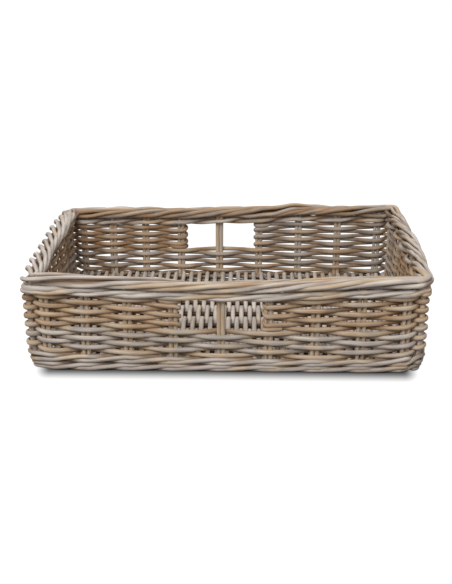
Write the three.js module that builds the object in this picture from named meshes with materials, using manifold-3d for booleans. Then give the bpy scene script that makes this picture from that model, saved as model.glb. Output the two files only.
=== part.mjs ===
// A low rectangular under-bed storage basket, woven by hand from round rattan cane.
// Pairs of upright stakes stand round a woven base. Single canes weave in and out of them,
// three-rod wales close the weave at the foot and the rim, and a rolled border caps the stakes.
// Units are millimetres and +Z is up. The origin is the middle of the footprint, on the floor.
import * as THREE from "three";
import { mergeVertices } from "three/addons/utils/BufferGeometryUtils.js";
import Module from "manifold-3d";

const wasm = await Module();
wasm.setup();

// Walls, measured between the middles of opposite walls
const WALL_LENGTH = 573;
const WALL_WIDTH = 368;
const CLEARANCE = 0.3;

// Upright stakes: the long walls need an odd count, so that one pair stands in the hand hole
const STAKE_RADIUS = 3;
const LONG_WALL_STAKES = 9;
const SHORT_WALL_STAKES = 6;
const CORNER_GAP = 24;
const STAKE_FOOT_LIFT = 2;
const CORNER_POST_RADIUS = 5;

// How far the middle pair of a long wall stands from the wall's middle, counter-clockwise from above,
// and how far the pairs half way to its ends are spread apart
const FRONT_STAKE_DRIFT = -8;
const BACK_STAKE_DRIFT = 20;
const LONG_WALL_SPREAD = 5;

// Plain weave of the walls
const WEAVER_RADIUS = 3.2;
const ROW_GAP = 0.6;
const ROWS_BELOW_HAND_HOLE = 6;
const ROWS_BESIDE_HAND_HOLE = 7;

// Wales: the canes of the foot and of the band under the border, outside and inside the stakes
const FOOT_CANE_RADIUS = 3.3;
const FOOT_OUTER_CANES = 2;
const RIM_CANE_RADIUS = 3.5;
const WALE_ROUNDS = 2;
const WALE_SLOPE_LENGTH = 60;
const WALE_INNER_CORNER_RADIUS = 10;

// Rolled border: strands laid round a flat oval, like a rope
const BORDER_CANE_RADIUS = 3.3;
const BORDER_STRANDS = 5;
const BORDER_TURNS = 7;
const BORDER_STEPS_PER_TURN = 7;
const BORDER_END_RADIUS = 4.8;
const BORDER_FLAT_WIDTH = 16;
const BORDER_CORNER_RADIUS = 20;

// Base: a mat of canes woven across stick pairs
const BASE_LIFT = 7.6;
const BASE_STICK_RADIUS = 3;
const BASE_STICKS = 7;
const MAT_CANE_DIAMETER = 6.7;
const MAT_CANE_PITCH = 7;
const MAT_SKIN = 0.6;

// Facets of the round canes
const WEAVER_SIDES = 5;
const WALE_SIDES = 8;
const LOBE_STEPS = 5;
const CORNER_STEPS = 3;
const TURN_STEPS = 4;
const CORNER_CHAMFER = Math.PI / 4;

// Heights, stacked from the floor
const rowPitch = 2 * WEAVER_RADIUS + ROW_GAP;
const wallRows = ROWS_BELOW_HAND_HOLE + ROWS_BESIDE_HAND_HOLE;
const footStrandPitch = 2 * FOOT_CANE_RADIUS + CLEARANCE;
const footTop = FOOT_OUTER_CANES * WALE_ROUNDS * footStrandPitch;
const weaveTop = footTop + wallRows * rowPitch;
const rimStrandPitch = 2 * RIM_CANE_RADIUS + CLEARANCE;
const stakeTop = weaveTop + WALE_ROUNDS * rimStrandPitch;
const borderMiddle = stakeTop + CLEARANCE + BORDER_END_RADIUS + BORDER_CANE_RADIUS;
const stakeHeight = stakeTop - STAKE_FOOT_LIFT;
const matThickness = 2 * (BASE_STICK_RADIUS + MAT_CANE_DIAMETER);
const rowHeight = (row) => footTop + (row + 0.5) * rowPitch;

// Twin canes share a narrow neck along their line of contact
const NECK_ANGLE = Math.PI / 7;
const lobeOffset = (radius) => radius * Math.cos(NECK_ANGLE);

// Offsets from the middle of the wall
const weaveOffset = STAKE_RADIUS + CLEARANCE + WEAVER_RADIUS;
const weaveFlat = lobeOffset(STAKE_RADIUS) + STAKE_RADIUS + 2 * CLEARANCE;
const chordLoss = (turn) => 1 / Math.cos(turn / 2);
const postInset = CORNER_POST_RADIUS - STAKE_RADIUS;
const footOffset = STAKE_RADIUS + CLEARANCE + FOOT_CANE_RADIUS;
const rimOffset = STAKE_RADIUS + CLEARANCE + RIM_CANE_RADIUS;

const CANE = {
  stake: { color: 0xa98a63, roughness: 0.75 },
  weaver: { color: 0xa8937a, roughness: 0.75 },
  wale: { color: 0xaa9c8a, roughness: 0.75 },
  border: { color: 0xb4a692, roughness: 0.75 },
  base: { color: 0xb0a38f, roughness: 0.8 },
};

const basket = new THREE.Group();

function addPiece(name, geometry, finish, parent = basket) {
  const material = new THREE.MeshStandardMaterial({ ...finish, metalness: 0 });
  const piece = new THREE.Mesh(geometry, material);
  piece.name = name;
  parent.add(piece);
  return piece;
}

// A regular polygon with a flat underneath, as points across the cane
function roundSection(sides, radius) {
  return Array.from({ length: sides }, (_, i) => {
    const angle = (2 * Math.PI * (i + 0.5)) / sides - Math.PI / 2;
    return new THREE.Vector2(Math.cos(angle), Math.sin(angle)).multiplyScalar(radius);
  });
}

// A polygon whose flats, not its corners, lie at the radius, so that strands stack face to face
const flatSection = (sides, radius) => roundSection(sides, radius / Math.cos(Math.PI / sides));

// The outline of two canes side by side along X
function twinSection(radius) {
  const lobe = (centre, facing) =>
    Array.from({ length: LOBE_STEPS + 1 }, (_, i) => {
      const angle = facing + (i / LOBE_STEPS - 0.5) * 2 * (Math.PI - NECK_ANGLE);
      return new THREE.Vector2(centre + radius * Math.cos(angle), radius * Math.sin(angle));
    });
  const right = lobe(lobeOffset(radius), 0);
  const left = lobe(-lobeOffset(radius), Math.PI);
  return new THREE.Shape([...right, ...left.slice(1, -1)]);
}

// Carries a section along a path of points, mitred at each bend, as one closed surface
function sweep(path, section, closed) {
  const up = new THREE.Vector3(0, 0, 1);
  const count = path.length;
  const size = section.length;
  const positions = [];
  path.forEach((point, i) => {
    const before = closed || i > 0 ? path[(i + count - 1) % count] : null;
    const after = closed || i < count - 1 ? path[(i + 1) % count] : null;
    const arriving = before ? point.clone().sub(before).normalize() : null;
    const leaving = after ? after.clone().sub(point).normalize() : arriving;
    const tangent = (arriving ?? leaving).clone().add(leaving).normalize();
    const mitre = 1 / tangent.dot(leaving);
    const side = tangent.clone().cross(up).normalize();
    const rise = side.clone().cross(tangent);
    for (const { x, y } of section) {
      const corner = point.clone().addScaledVector(side, x * mitre).addScaledVector(rise, y);
      positions.push(corner.x, corner.y, corner.z);
    }
  });
  const faces = [];
  const spans = closed ? count : count - 1;
  for (let i = 0; i < spans; i++) {
    const ring = i * size;
    const next = ((i + 1) % count) * size;
    for (let k = 0; k < size; k++) {
      const l = (k + 1) % size;
      faces.push(ring + k, next + l, ring + l, ring + k, next + k, next + l);
    }
  }
  const lastRing = (count - 1) * size;
  for (let k = 1; !closed && k < size - 1; k++) {
    faces.push(0, k, k + 1, lastRing, lastRing + k + 1, lastRing + k);
  }
  const geometry = new THREE.BufferGeometry();
  geometry.setAttribute("position", new THREE.Float32BufferAttribute(positions, 3));
  geometry.setIndex(faces);
  return geometry;
}

// Where the stake pairs stand along a wall: evenly, but for a drift and a spread that fade at its ends
function stakePlaces(length, stakes, drift, spread) {
  return Array.from({ length: stakes }, (_, k) => {
    const share = (2 * k) / (stakes - 1) - 1;
    const even = share * (length / 2 - CORNER_GAP);
    return even + drift * (1 - share * share) + spread * Math.sin(Math.PI * share);
  });
}

// The walls in order round the basket, counter-clockwise from above
const WALLS = [
  { name: "front", drift: FRONT_STAKE_DRIFT, spread: LONG_WALL_SPREAD },
  { name: "right", drift: 0, spread: 0 },
  { name: "back", drift: BACK_STAKE_DRIFT, spread: LONG_WALL_SPREAD },
  { name: "left", drift: 0, spread: 0 },
].map(({ name, drift, spread }, i) => {
  const long = i % 2 === 0;
  const length = long ? WALL_LENGTH : WALL_WIDTH;
  return {
    name,
    turn: (i * Math.PI) / 2,
    length,
    distance: (long ? WALL_WIDTH : WALL_LENGTH) / 2,
    places: stakePlaces(length, long ? LONG_WALL_STAKES : SHORT_WALL_STAKES, drift, spread),
  };
});

const turned = (x, y, turn) => new THREE.Vector2(x, y).rotateAround(new THREE.Vector2(), turn);

// What a weaver passes on its way round: each wall's stake pairs and then the post at its end
const stations = WALLS.flatMap(({ turn, length, distance, places }) => {
  const along = turned(1, 0, turn);
  const out = turned(0, -1, turn);
  const pairs = places.map((place) => ({ at: turned(place, -distance, turn), along, out }));
  return [...pairs, { at: turned(length / 2, -distance, turn), along, out, corner: true }];
});

const lifted = (plan, z) => new THREE.Vector3(plan.x, plan.y, z);
const passesOutside = (station, row) => (station + row) % 2 === 0;

// Where one row runs past one station, in plan, in the counter-clockwise direction.
// Outside a post the cane keeps the wall's offset and cuts the corner with one chamfer.
function passing(station, outside) {
  const { at, along, out, corner } = station;
  const side = outside ? 1 : -1;
  if (!corner) {
    return [-weaveFlat, weaveFlat].map((step) =>
      at.clone().addScaledVector(along, step).addScaledVector(out, side * weaveOffset),
    );
  }
  if (!outside) {
    const inward = postInset + (CORNER_POST_RADIUS + CLEARANCE + WEAVER_RADIUS) * Math.SQRT1_2;
    return [at.clone().addScaledVector(along, -inward).addScaledVector(out, -inward)];
  }
  const reach = weaveOffset * chordLoss(CORNER_CHAMFER);
  const clear = postInset + CORNER_POST_RADIUS;
  const plans = [
    [-clear, weaveOffset],
    [reach * Math.sin(CORNER_CHAMFER / 2), weaveOffset],
    [weaveOffset, reach * Math.sin(CORNER_CHAMFER / 2)],
    [weaveOffset, -clear],
  ];
  return plans.map(([x, y]) => at.clone().addScaledVector(along, x).addScaledVector(out, y));
}

function ringWeaver(row) {
  const path = stations.flatMap((station, i) =>
    passing(station, passesOutside(i, row)).map((plan) => lifted(plan, rowHeight(row))),
  );
  return sweep(path, roundSection(WEAVER_SIDES, WEAVER_RADIUS), true);
}

// A weaver turns back round the last stake pair beside the hand hole and climbs to the next row
function turnBack(station, row, travel) {
  const { at, along, out } = station;
  const turnStep = Math.PI / TURN_STEPS;
  const reach = weaveOffset * chordLoss(turnStep);
  const start = passesOutside(stations.indexOf(station), row) ? 1 : -1;
  const centre = at.clone().addScaledVector(along, travel * lobeOffset(STAKE_RADIUS));
  return Array.from({ length: TURN_STEPS + 1 }, (_, i) => {
    const angle = i * turnStep;
    const plan = centre
      .clone()
      .addScaledVector(out, start * reach * Math.cos(angle))
      .addScaledVector(along, travel * reach * Math.sin(angle));
    return lifted(plan, rowHeight(row + i / TURN_STEPS));
  });
}

// One cane runs to and fro between the hand holes, round one end of the basket
function returnWeaver(firstStation, lastStation) {
  const stops = lastStation - firstStation;
  const half = Array.from({ length: stops + 1 }, (_, i) => (firstStation + i) % stations.length);
  const path = [];
  for (let i = 0; i < ROWS_BESIDE_HAND_HOLE; i++) {
    const row = ROWS_BELOW_HAND_HOLE + i;
    const travel = i % 2 === 0 ? 1 : -1;
    const route = travel === 1 ? half : [...half].reverse();
    const points = route.flatMap((index) => {
      const plans = passing(stations[index], passesOutside(index, row));
      return (travel === 1 ? plans : plans.reverse()).map((plan) => lifted(plan, rowHeight(row)));
    });
    const fromTurn = i > 0 ? 1 : 0;
    const toTurn = i < ROWS_BESIDE_HAND_HOLE - 1;
    path.push(...points.slice(fromTurn, toTurn ? -1 : undefined));
    if (toTurn) {
      path.push(...turnBack(stations[route.at(-1)], row, travel));
    }
  }
  return sweep(path, roundSection(WEAVER_SIDES, WEAVER_RADIUS), false);
}

// A level rectangle with round corners, offset outwards from the middle of the walls.
// It starts at the corner after the front wall.
function levelRing(offset, cornerRadius, z) {
  const path = [];
  WALLS.forEach(({ turn, length, distance }) => {
    const centre = turned(length / 2 + offset - cornerRadius, cornerRadius - distance - offset, turn);
    for (let i = 0; i < CORNER_STEPS; i++) {
      const angle = (i / (CORNER_STEPS - 1)) * (Math.PI / 2) - Math.PI / 2 + turn;
      const plan = new THREE.Vector2(Math.cos(angle), Math.sin(angle)).multiplyScalar(cornerRadius);
      path.push(lifted(plan.add(centre), z));
    }
  });
  return path;
}

// A wale's outer cane lies in level rounds and climbs from one to the next on the back wall
function outerWale(offset, radius, bottom) {
  const slopeEnd = (x, z) => new THREE.Vector3(x, WALL_WIDTH / 2 + offset, z);
  const path = Array.from({ length: WALE_ROUNDS }, (_, i) => {
    const z = bottom + radius + i * (2 * radius + CLEARANCE);
    const ring = levelRing(offset, offset, z);
    const fromBack = [...ring.slice(2 * CORNER_STEPS), ...ring.slice(0, 2 * CORNER_STEPS)];
    return [slopeEnd(-WALE_SLOPE_LENGTH / 2, z), ...fromBack, slopeEnd(WALE_SLOPE_LENGTH / 2, z)];
  });
  return sweep(path.flat(), flatSection(WALE_SIDES, radius), false);
}

// A wale's inner cane is a closed ring
function innerWale(offset, radius, z) {
  const path = levelRing(-offset, WALE_INNER_CORNER_RADIUS, z);
  return sweep(path, flatSection(WALE_SIDES, radius), true);
}

// The middle line of the border, marked with its outward direction and the distance run
function borderLine() {
  const step = (2 * (WALL_LENGTH + WALL_WIDTH)) / (BORDER_TURNS * BORDER_STEPS_PER_TURN);
  const arc = (BORDER_CORNER_RADIUS * Math.PI) / 2;
  let total = 0;
  const marks = WALLS.flatMap(({ turn, length, distance }) => {
    const straight = length - 2 * BORDER_CORNER_RADIUS;
    const pieces = Math.ceil(straight / step);
    const out = turned(0, -1, turn);
    const side = Array.from({ length: pieces + 1 }, (_, i) => {
      const gone = (i / pieces) * straight;
      return { plan: turned(gone - straight / 2, -distance, turn), out, run: total + gone };
    });
    const bend = turned(Math.SQRT1_2, -Math.SQRT1_2, turn);
    const plan = turned(straight / 2, BORDER_CORNER_RADIUS - distance, turn);
    plan.addScaledVector(bend, BORDER_CORNER_RADIUS);
    side.push({ plan, out: bend, run: total + straight + arc / 2 });
    total += straight + arc;
    return side;
  });
  return { marks, total };
}

// A point on the flat oval that the border strands follow: x outwards and y up.
// It starts under the outer end and climbs on the outside, over the top and down inside.
const ovalEnd = Math.PI * BORDER_END_RADIUS;
const ovalLength = 2 * (ovalEnd + BORDER_FLAT_WIDTH);
function ovalPoint(distance) {
  const half = ovalLength / 2;
  const gone = distance % half;
  const side = Math.floor(distance / half) % 2 === 0 ? 1 : -1;
  const angle = Math.min(gone, ovalEnd) / BORDER_END_RADIUS - Math.PI / 2;
  const across = Math.max(gone - ovalEnd, 0);
  const x = BORDER_FLAT_WIDTH / 2 + BORDER_END_RADIUS * Math.cos(angle) - across;
  return new THREE.Vector2(side * x, side * BORDER_END_RADIUS * Math.sin(angle));
}

function borderStrand(index) {
  const { marks, total } = borderLine();
  const path = marks.map(({ plan, out, run }) => {
    const turns = (BORDER_TURNS * run) / total + index / BORDER_STRANDS;
    const place = ovalPoint(turns * ovalLength);
    return lifted(plan.clone().addScaledVector(out, place.x), borderMiddle + place.y);
  });
  return sweep(path, roundSection(WEAVER_SIDES, BORDER_CANE_RADIUS), true);
}

// A straight piece of constant section standing on the given height
function upright(shape, height, bottom) {
  const settings = { depth: height, bevelEnabled: false };
  return new THREE.ExtrudeGeometry(shape, settings).translate(0, 0, bottom);
}

// A twin stick lying along X, its two canes side by side
function stickPair(radius, length, y, z) {
  const stick = upright(twinSection(radius), length, -length / 2);
  return stick.rotateZ(Math.PI / 2).rotateY(Math.PI / 2).translate(0, y, z);
}

function toSolid(geometry) {
  const bare = new THREE.BufferGeometry();
  bare.setAttribute("position", geometry.getAttribute("position").clone());
  bare.setIndex(geometry.getIndex());
  const merged = mergeVertices(bare);
  const mesh = new wasm.Mesh({
    numProp: 3,
    vertProperties: new Float32Array(merged.getAttribute("position").array),
    triVerts: new Uint32Array(merged.getIndex().array),
  });
  return new wasm.Manifold(mesh);
}

function toGeometry(solid) {
  const mesh = solid.getMesh();
  const geometry = new THREE.BufferGeometry();
  geometry.setAttribute("position", new THREE.BufferAttribute(mesh.vertProperties, 3));
  geometry.setIndex(new THREE.BufferAttribute(mesh.triVerts, 1));
  return geometry;
}

// The mat reaches the stakes on all sides. Its canes run from front to back, over one stick
// and under the next.
const matLength = WALL_LENGTH - 2 * (STAKE_RADIUS + CLEARANCE);
const matWidth = WALL_WIDTH - 2 * (STAKE_RADIUS + CLEARANCE);
const stickHeight = BASE_LIFT + matThickness / 2;
const stickSpacing = matWidth / BASE_STICKS;
const firstStick = (stickSpacing - matWidth) / 2;
const stickPlaces = Array.from({ length: BASE_STICKS }, (_, i) => firstStick + i * stickSpacing);
const matTop = BASE_LIFT + matThickness;
const matHollow = stickHeight + BASE_STICK_RADIUS + CLEARANCE + MAT_SKIN;

// The slab that the mat is cut from: its top rises to a peak where a cane crosses over a stick,
// falls to a hollow where it dives under the next, and is level along the edges
function wovenSlab() {
  const canes = Math.floor(matLength / MAT_CANE_PITCH);
  const pitch = matLength / canes;
  const middles = Array.from({ length: canes }, (_, k) => (k + 0.5) * pitch - matLength / 2);
  const columns = [-matLength / 2, ...middles, matLength / 2];
  const rows = [-matWidth / 2, ...stickPlaces, matWidth / 2];
  const atEdge = (index, lines) => index === 0 || index === lines.length - 1;
  const positions = rows.flatMap((y, j) =>
    columns.flatMap((x, k) => {
      const over = (j + k) % 2 === 0 && !atEdge(j, rows) && !atEdge(k, columns);
      return [x, y, over ? matTop : matHollow];
    }),
  );
  const point = (j, k) => j * columns.length + k;
  const faces = [];
  for (let j = 0; j < rows.length - 1; j++) {
    for (let k = 0; k < columns.length - 1; k++) {
      const [a, b, c, d] = [point(j, k), point(j, k + 1), point(j + 1, k + 1), point(j + 1, k)];
      const peakFirst = (j + k) % 2 === 0;
      faces.push(...(peakFirst ? [a, b, d, b, c, d] : [a, b, c, a, c, d]));
    }
  }
  const lastRow = rows.length - 1;
  const lastColumn = columns.length - 1;
  const edges = [
    columns.map((_, k) => point(0, k)),
    rows.map((_, j) => point(j, lastColumn)),
    columns.map((_, k) => point(lastRow, lastColumn - k)),
    rows.map((_, j) => point(lastRow - j, 0)),
  ];
  const feet = edges.map(([corner], i) => {
    positions.push(positions[3 * corner], positions[3 * corner + 1], BASE_LIFT);
    return rows.length * columns.length + i;
  });
  edges.forEach((edge, i) => {
    const foot = feet[i];
    const nextFoot = feet[(i + 1) % feet.length];
    faces.push(foot, nextFoot, edge.at(-1));
    edge.slice(1).forEach((top, n) => faces.push(foot, top, edge[n]));
  });
  faces.push(feet[0], feet[2], feet[1], feet[0], feet[3], feet[2]);
  const geometry = new THREE.BufferGeometry();
  geometry.setAttribute("position", new THREE.Float32BufferAttribute(positions, 3));
  geometry.setIndex(faces);
  return geometry;
}

function baseMat() {
  const tunnels = stickPlaces.map((y) =>
    toSolid(stickPair(BASE_STICK_RADIUS + CLEARANCE, matLength + MAT_CANE_PITCH, y, stickHeight)),
  );
  const notches = WALLS.map((wall) => toSolid(cornerPost(wall, CORNER_POST_RADIUS + CLEARANCE)));
  return toGeometry(wasm.Manifold.difference([toSolid(wovenSlab()), ...tunnels, ...notches]));
}

// The post stands a little inside the corner, so that the strands outside it run on smoothly
function cornerPost({ turn, length, distance }, radius) {
  const post = new THREE.CylinderGeometry(radius, radius, stakeHeight, WALE_SIDES);
  const place = turned(length / 2 - postInset, postInset - distance, turn);
  return post.rotateX(Math.PI / 2).translate(place.x, place.y, STAKE_FOOT_LIFT + stakeHeight / 2);
}

WALLS.forEach((wall, i) => {
  const group = new THREE.Group();
  group.rotation.z = wall.turn;
  basket.add(group);
  wall.places.forEach((place, k) => {
    const geometry = upright(twinSection(STAKE_RADIUS), stakeHeight, STAKE_FOOT_LIFT);
    const pair = addPiece(`${wall.name}_stake_pair_${k + 1}`, geometry, CANE.stake, group);
    pair.position.set(place, -wall.distance, 0);
  });
  const next = WALLS[(i + 1) % WALLS.length];
  addPiece(`${wall.name}_${next.name}_corner_post`, cornerPost(wall, CORNER_POST_RADIUS), CANE.stake);
});

for (let row = 0; row < ROWS_BELOW_HAND_HOLE; row++) {
  addPiece(`weaver_row_${row + 1}`, ringWeaver(row), CANE.weaver);
}
const frontMiddle = (LONG_WALL_STAKES - 1) / 2;
const backMiddle = LONG_WALL_STAKES + SHORT_WALL_STAKES + 2 + frontMiddle;
const rightHalf = returnWeaver(frontMiddle + 1, backMiddle - 1);
const leftHalf = returnWeaver(backMiddle + 1, stations.length + frontMiddle - 1);
addPiece("right_return_weaver", rightHalf, CANE.weaver);
addPiece("left_return_weaver", leftHalf, CANE.weaver);

for (let i = 0; i < FOOT_OUTER_CANES; i++) {
  const cane = outerWale(footOffset, FOOT_CANE_RADIUS, i * WALE_ROUNDS * footStrandPitch);
  addPiece(`foot_wale_outer_${i + 1}`, cane, CANE.wale);
}
const footInnerHeight = BASE_LIFT - CLEARANCE - FOOT_CANE_RADIUS;
addPiece("foot_wale_inner", innerWale(footOffset, FOOT_CANE_RADIUS, footInnerHeight), CANE.wale);

addPiece("rim_wale_outer", outerWale(rimOffset, RIM_CANE_RADIUS, weaveTop), CANE.wale);
const rimInnerHeight = (weaveTop + stakeTop) / 2;
addPiece("rim_wale_inner", innerWale(rimOffset, RIM_CANE_RADIUS, rimInnerHeight), CANE.wale);

for (let i = 0; i < BORDER_STRANDS; i++) {
  addPiece(`rolled_border_strand_${i + 1}`, borderStrand(i), CANE.border);
}

addPiece("base_mat", baseMat(), CANE.base);
stickPlaces.forEach((y, i) => {
  const stick = stickPair(BASE_STICK_RADIUS, matLength, y, stickHeight);
  addPiece(`base_stick_pair_${i + 1}`, stick, CANE.stake);
});

export default basket;
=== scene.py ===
import math

import bpy
import numpy as np
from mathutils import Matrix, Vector


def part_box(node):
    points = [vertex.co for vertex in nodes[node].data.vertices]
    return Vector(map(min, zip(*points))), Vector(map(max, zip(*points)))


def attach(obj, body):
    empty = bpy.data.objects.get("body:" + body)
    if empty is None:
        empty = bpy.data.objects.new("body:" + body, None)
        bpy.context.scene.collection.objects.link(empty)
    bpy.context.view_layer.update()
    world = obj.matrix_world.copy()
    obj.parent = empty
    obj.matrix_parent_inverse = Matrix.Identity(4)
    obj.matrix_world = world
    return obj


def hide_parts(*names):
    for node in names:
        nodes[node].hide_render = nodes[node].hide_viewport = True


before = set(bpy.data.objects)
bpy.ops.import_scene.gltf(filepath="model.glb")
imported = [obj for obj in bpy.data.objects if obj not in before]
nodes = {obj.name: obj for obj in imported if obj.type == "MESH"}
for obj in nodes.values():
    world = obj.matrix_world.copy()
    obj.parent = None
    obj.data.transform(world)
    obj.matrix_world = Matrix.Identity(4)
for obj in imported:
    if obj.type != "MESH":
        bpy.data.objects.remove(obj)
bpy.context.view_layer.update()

# A low under-bed basket woven from grey-washed rattan cane. Metres, +Z up, front towards -Y.
rng = np.random.default_rng(41)
MM = 0.001

# Canes: radii, the facets along and round them, how far their thickness and their bends stray, and
# how far apart the patterns of two skins may start
STAKE_RADIUS = 3.25 * MM
POST_RADIUS = 4.2 * MM
ROW_RADIUS = 4.1 * MM
RIM_WALE_RADIUS = 3.9 * MM
FOOT_WALE_RADIUS = 3.6 * MM
BORDER_RADIUS = 4.1 * MM
MAT_RADIUS = 3.75 * MM
BASE_STICK_SHARE = 0.76
CANE_STEPS = 4
CANE_SIDES = 10
ROUND_SIDES = 12
MAT_STEPS = 3
CANE_DRIFT = 0.03
CANE_SPREAD = 0.06
DRIFT_PERIODS = (5.3, 9.1, 17.0)
DRIFT_SUM = 1.7
SIDEWAYS_STRAY = 0.35
SKIN_SPAN = 9

# Growth rings along a cane
RING_SPACING = 163 * MM
RING_SWELL = 0.07
RING_WIDTH = 2.2 * MM

# A cut end is rounded by two more bends: how far out they lie and how thick they are, in radii
CUT_END = ((0.55, 0.02), (0.4, 0.8))
END_MERGE = 0.3 * MM

# Straight sticks and uprights: facets, a slight bow, and a thickness that sways along each of them.
# A shade is a start and a random spread, from brown to grey
STICK_SIDES = 12
STICK_CUTS = 14
STEEP = 0.9
STICK_BOW = 0.3 * MM
STICK_SPREAD = 0.05
STICK_DRIFT = 0.03
STICK_WAVE = 5
STICK_PHASE = 6
SMOOTH_ANGLE = math.radians(50)
STAKE_INTO_BORDER = 3 * MM
FRONT_PAIR_APART = 1.14
PALE_PAIRS = 0.3
PALE_SHADE = (0.84, 0.12)
HOLE_SHADE = (0.52, 0.12)
STAKE_SHADE = (0.42, 0.12)
POST_SHADE = (0.3, 0.4)
# The base sticks are near black: a painted shadow for the gaps where the mat canes dive under them
BASE_STICK_PAINTED_SHADOW = (-0.15, 0.16)

# Rows: flat canes, with their thickness at the stake pairs of each wall and half way between pairs.
# Their upper and lower edges are tucked between the neighbouring rows and darkened there as painted shade
PASS_SHARE = {"front": 1.0, "right": 1.04, "back": 0.93, "left": 1.04}
LONG_WAIST = 0.86
SHORT_WAIST = 1.13
ROW_FLATNESS = 0.6
ROW_SINK = 0.6 * MM
ROW_DEPTH = ROW_FLATNESS * ROW_RADIUS
WEAVE_OFFSET = STAKE_RADIUS + ROW_DEPTH - ROW_SINK
PAIR_FLAT = 5 * MM
POST_GAP = 0.2 * MM
POST_INNER_REACH = 0.7
POST_INNER_SHARE = 0.82
HIDDEN_END = 1.5 * MM
HIDDEN_EXIT = 9 * MM
ROW_UNEVENNESS = 0.6 * MM
ROW_SPREAD = 0.03
ROW_EDGE_SHADE = 0.55
EDGE_SHADE_START = 0.55
ROW_SHADES = (0.46, 0.66, 0.78, 0.74, 0.88, 0.5)

# Return rows beside the hand holes: their turns round the last stake pair and their tucked-in tails.
# They are tan in front and greyer towards the back
TURN_REACH = {"left": 1.35, "right": 0.85}
TURN_SHARE = 0.86
TURN_STEPS = 4
TAIL_START = 6 * MM
TAIL_TIP = 19 * MM
TAIL_TIP_OFFSET = 2.5 * MM
TAIL_RISE = 0.5 * MM
TAIL_SHARE = 0.7
RETURN_UNEVENNESS = 0.5 * MM
RETURN_SPREAD = 0.02
RETURN_SHADE = 0.3
RETURN_FADE = {"right": 0.4, "left": 0.12}

# Wales: three canes each, the foot in two layers. They start behind a stake pair of a short wall
WALE_CANES = 3
WALE_START = 12
WALE_FLAT = 6 * MM
WALE_GAP = 0.1 * MM
WALE_EXIT_SLOPE = 0.4
WALE_UNEVENNESS = 0.45 * MM
FOOT_LAYERS = 2
FOOT_PRESS = 0.3 * MM
FOOT_SHADE = (0.68, 0.14)

# Border: the distance between its strands, and how far they run along each wall in the quarters of
# their one turn: up the outside, over the top, down the inside and back underneath
BORDER_SPACING = {"front": 66 * MM, "right": 36 * MM, "back": 52 * MM, "left": 36 * MM}
BORDER_TURN = {
    "front": (125 * MM, 125 * MM, 125 * MM, 125 * MM),
    "right": (110 * MM, 55 * MM, 45 * MM, 40 * MM),
    "back": (90 * MM, 90 * MM, 90 * MM, 90 * MM),
    "left": (20 * MM, 50 * MM, 110 * MM, 40 * MM),
}
BORDER_SHARE = {"front": 0.88, "right": 0.84, "back": 0.88, "left": 0.84}
BORDER_END = 4.6 * MM
BORDER_FLAT = 14 * MM
BORDER_RIGHT_FLAT = 9 * MM
BORDER_RIGHT_SHIFT = 1.5 * MM
BORDER_CORNER = 4 * MM
BORDER_WALL_STEPS = 90
BORDER_CORNER_STEPS = 8
RIM_SLIT = 0.2 * MM

# Border strands: where in the turn they start and stop, and how their tips are tucked in
STRAND_START = -0.06
STRAND_STOP = 1.02
STRAND_BENDS = 44
STRAND_STRAY = 0.3
STRAND_SWING = 0.8 * MM
STRAND_UNEVENNESS = 0.6 * MM
TIP_DEPTH = 0.55
TIP_RISE = 4.5
TIP_HEIGHT = 0.4
SHORT_WALL_STRAND = 0.6
GREY_STRANDS = 0.5
GREY_SHADE = (0.78, 0.16)
TAN_SHADE = (0.38, 0.22)

# Base mat
MAT_PITCH = 6.95 * MM
MAT_PASS = 13 * MM
MAT_PRESS = 0.3 * MM
MAT_UNEVENNESS = 0.3 * MM
MAT_SPREAD = 0.02
MAT_SHADE = (0.6, 0.4)

# How the basket has settled: the front rim hangs in the middle, and the front rows have slipped down
# on the foot, most of all right of the middle
FRONT_SAG = 11 * MM
SAG_SHARPNESS = 3
SAG_FROM = 50 * MM
SAG_HEIGHT = 100 * MM
SAG_REACH = 55 * MM
FRONT_SLIP = 8 * MM
SLIP_TILT = 0.8
WALL_REACH = 25 * MM

# The back rows have been drawn up, and the back rim climbs to the right, over one hump
BACK_LIFT = 6 * MM
BACK_LIFT_HEIGHT = 60 * MM
BACK_RISE = 1.68 * MM
BACK_CLIMB = 4.2 * MM
BACK_CLIMB_LENGTH = 120 * MM
BACK_HUMP = 3.5 * MM
BACK_HUMP_PLACE = 112 * MM
BACK_HUMP_WIDTH = 24 * MM

# The rows climb where they turn a corner, and the foot is drawn in at its corners
CORNER_REACH = 45 * MM
CORNER_CLIMB = 5 * MM
CLIMB_START = 8 * MM
CLIMB_FADE = 25 * MM
FOOT_TUCK = 9 * MM
FOOT_TUCK_HEIGHT = 1.2

# The left wall leans out, both short walls bulge under the border and both short rims bow outwards
LEFT_LEAN = 3.5 * MM
LEFT_BULGE = 7 * MM
RIGHT_BULGE = 2 * MM
BULGE_FADE = 15 * MM
LEFT_BOW = 6 * MM
RIGHT_BOW = 7 * MM
BOW_TILT = 0.5
BOW_FROM = 60 * MM
BOW_HEIGHT = 80 * MM
SIDE_REACH = 60 * MM

# Wear and painted shade: skin that stands out of the weave is bleached, skin deep between the canes stays
# brown and is darkened by painted shade, and so is the inside.
# A pair says where a change starts and how far on it is complete, measured from the middle of the
# wall, from the border's heart or from the height of the base sticks
OUTER_BLEACH = (-1.6 * MM, 5 * MM)
INNER_BLEACH = (2.5 * MM, 4 * MM)
# Inside the walls at most this share is bleached, and the rest is darkened as painted shade
INNER_SHARE = 0.7
INNER_REACH = 2 * MM
SHADE_REACH = 5 * MM
FOOT_BLEACH = (5.5 * MM, 4 * MM)
FOOT_LOW_SHARE = 0.62
# How much darker the foot's inside is, as painted shade
FOOT_INNER_PAINTED_SHADE = 0.6
BORDER_BLEACH = (0.95 * BORDER_END, 0.75 * BORDER_RADIUS)
BORDER_INNER_PAINTED_SHADE = 0.2
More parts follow.
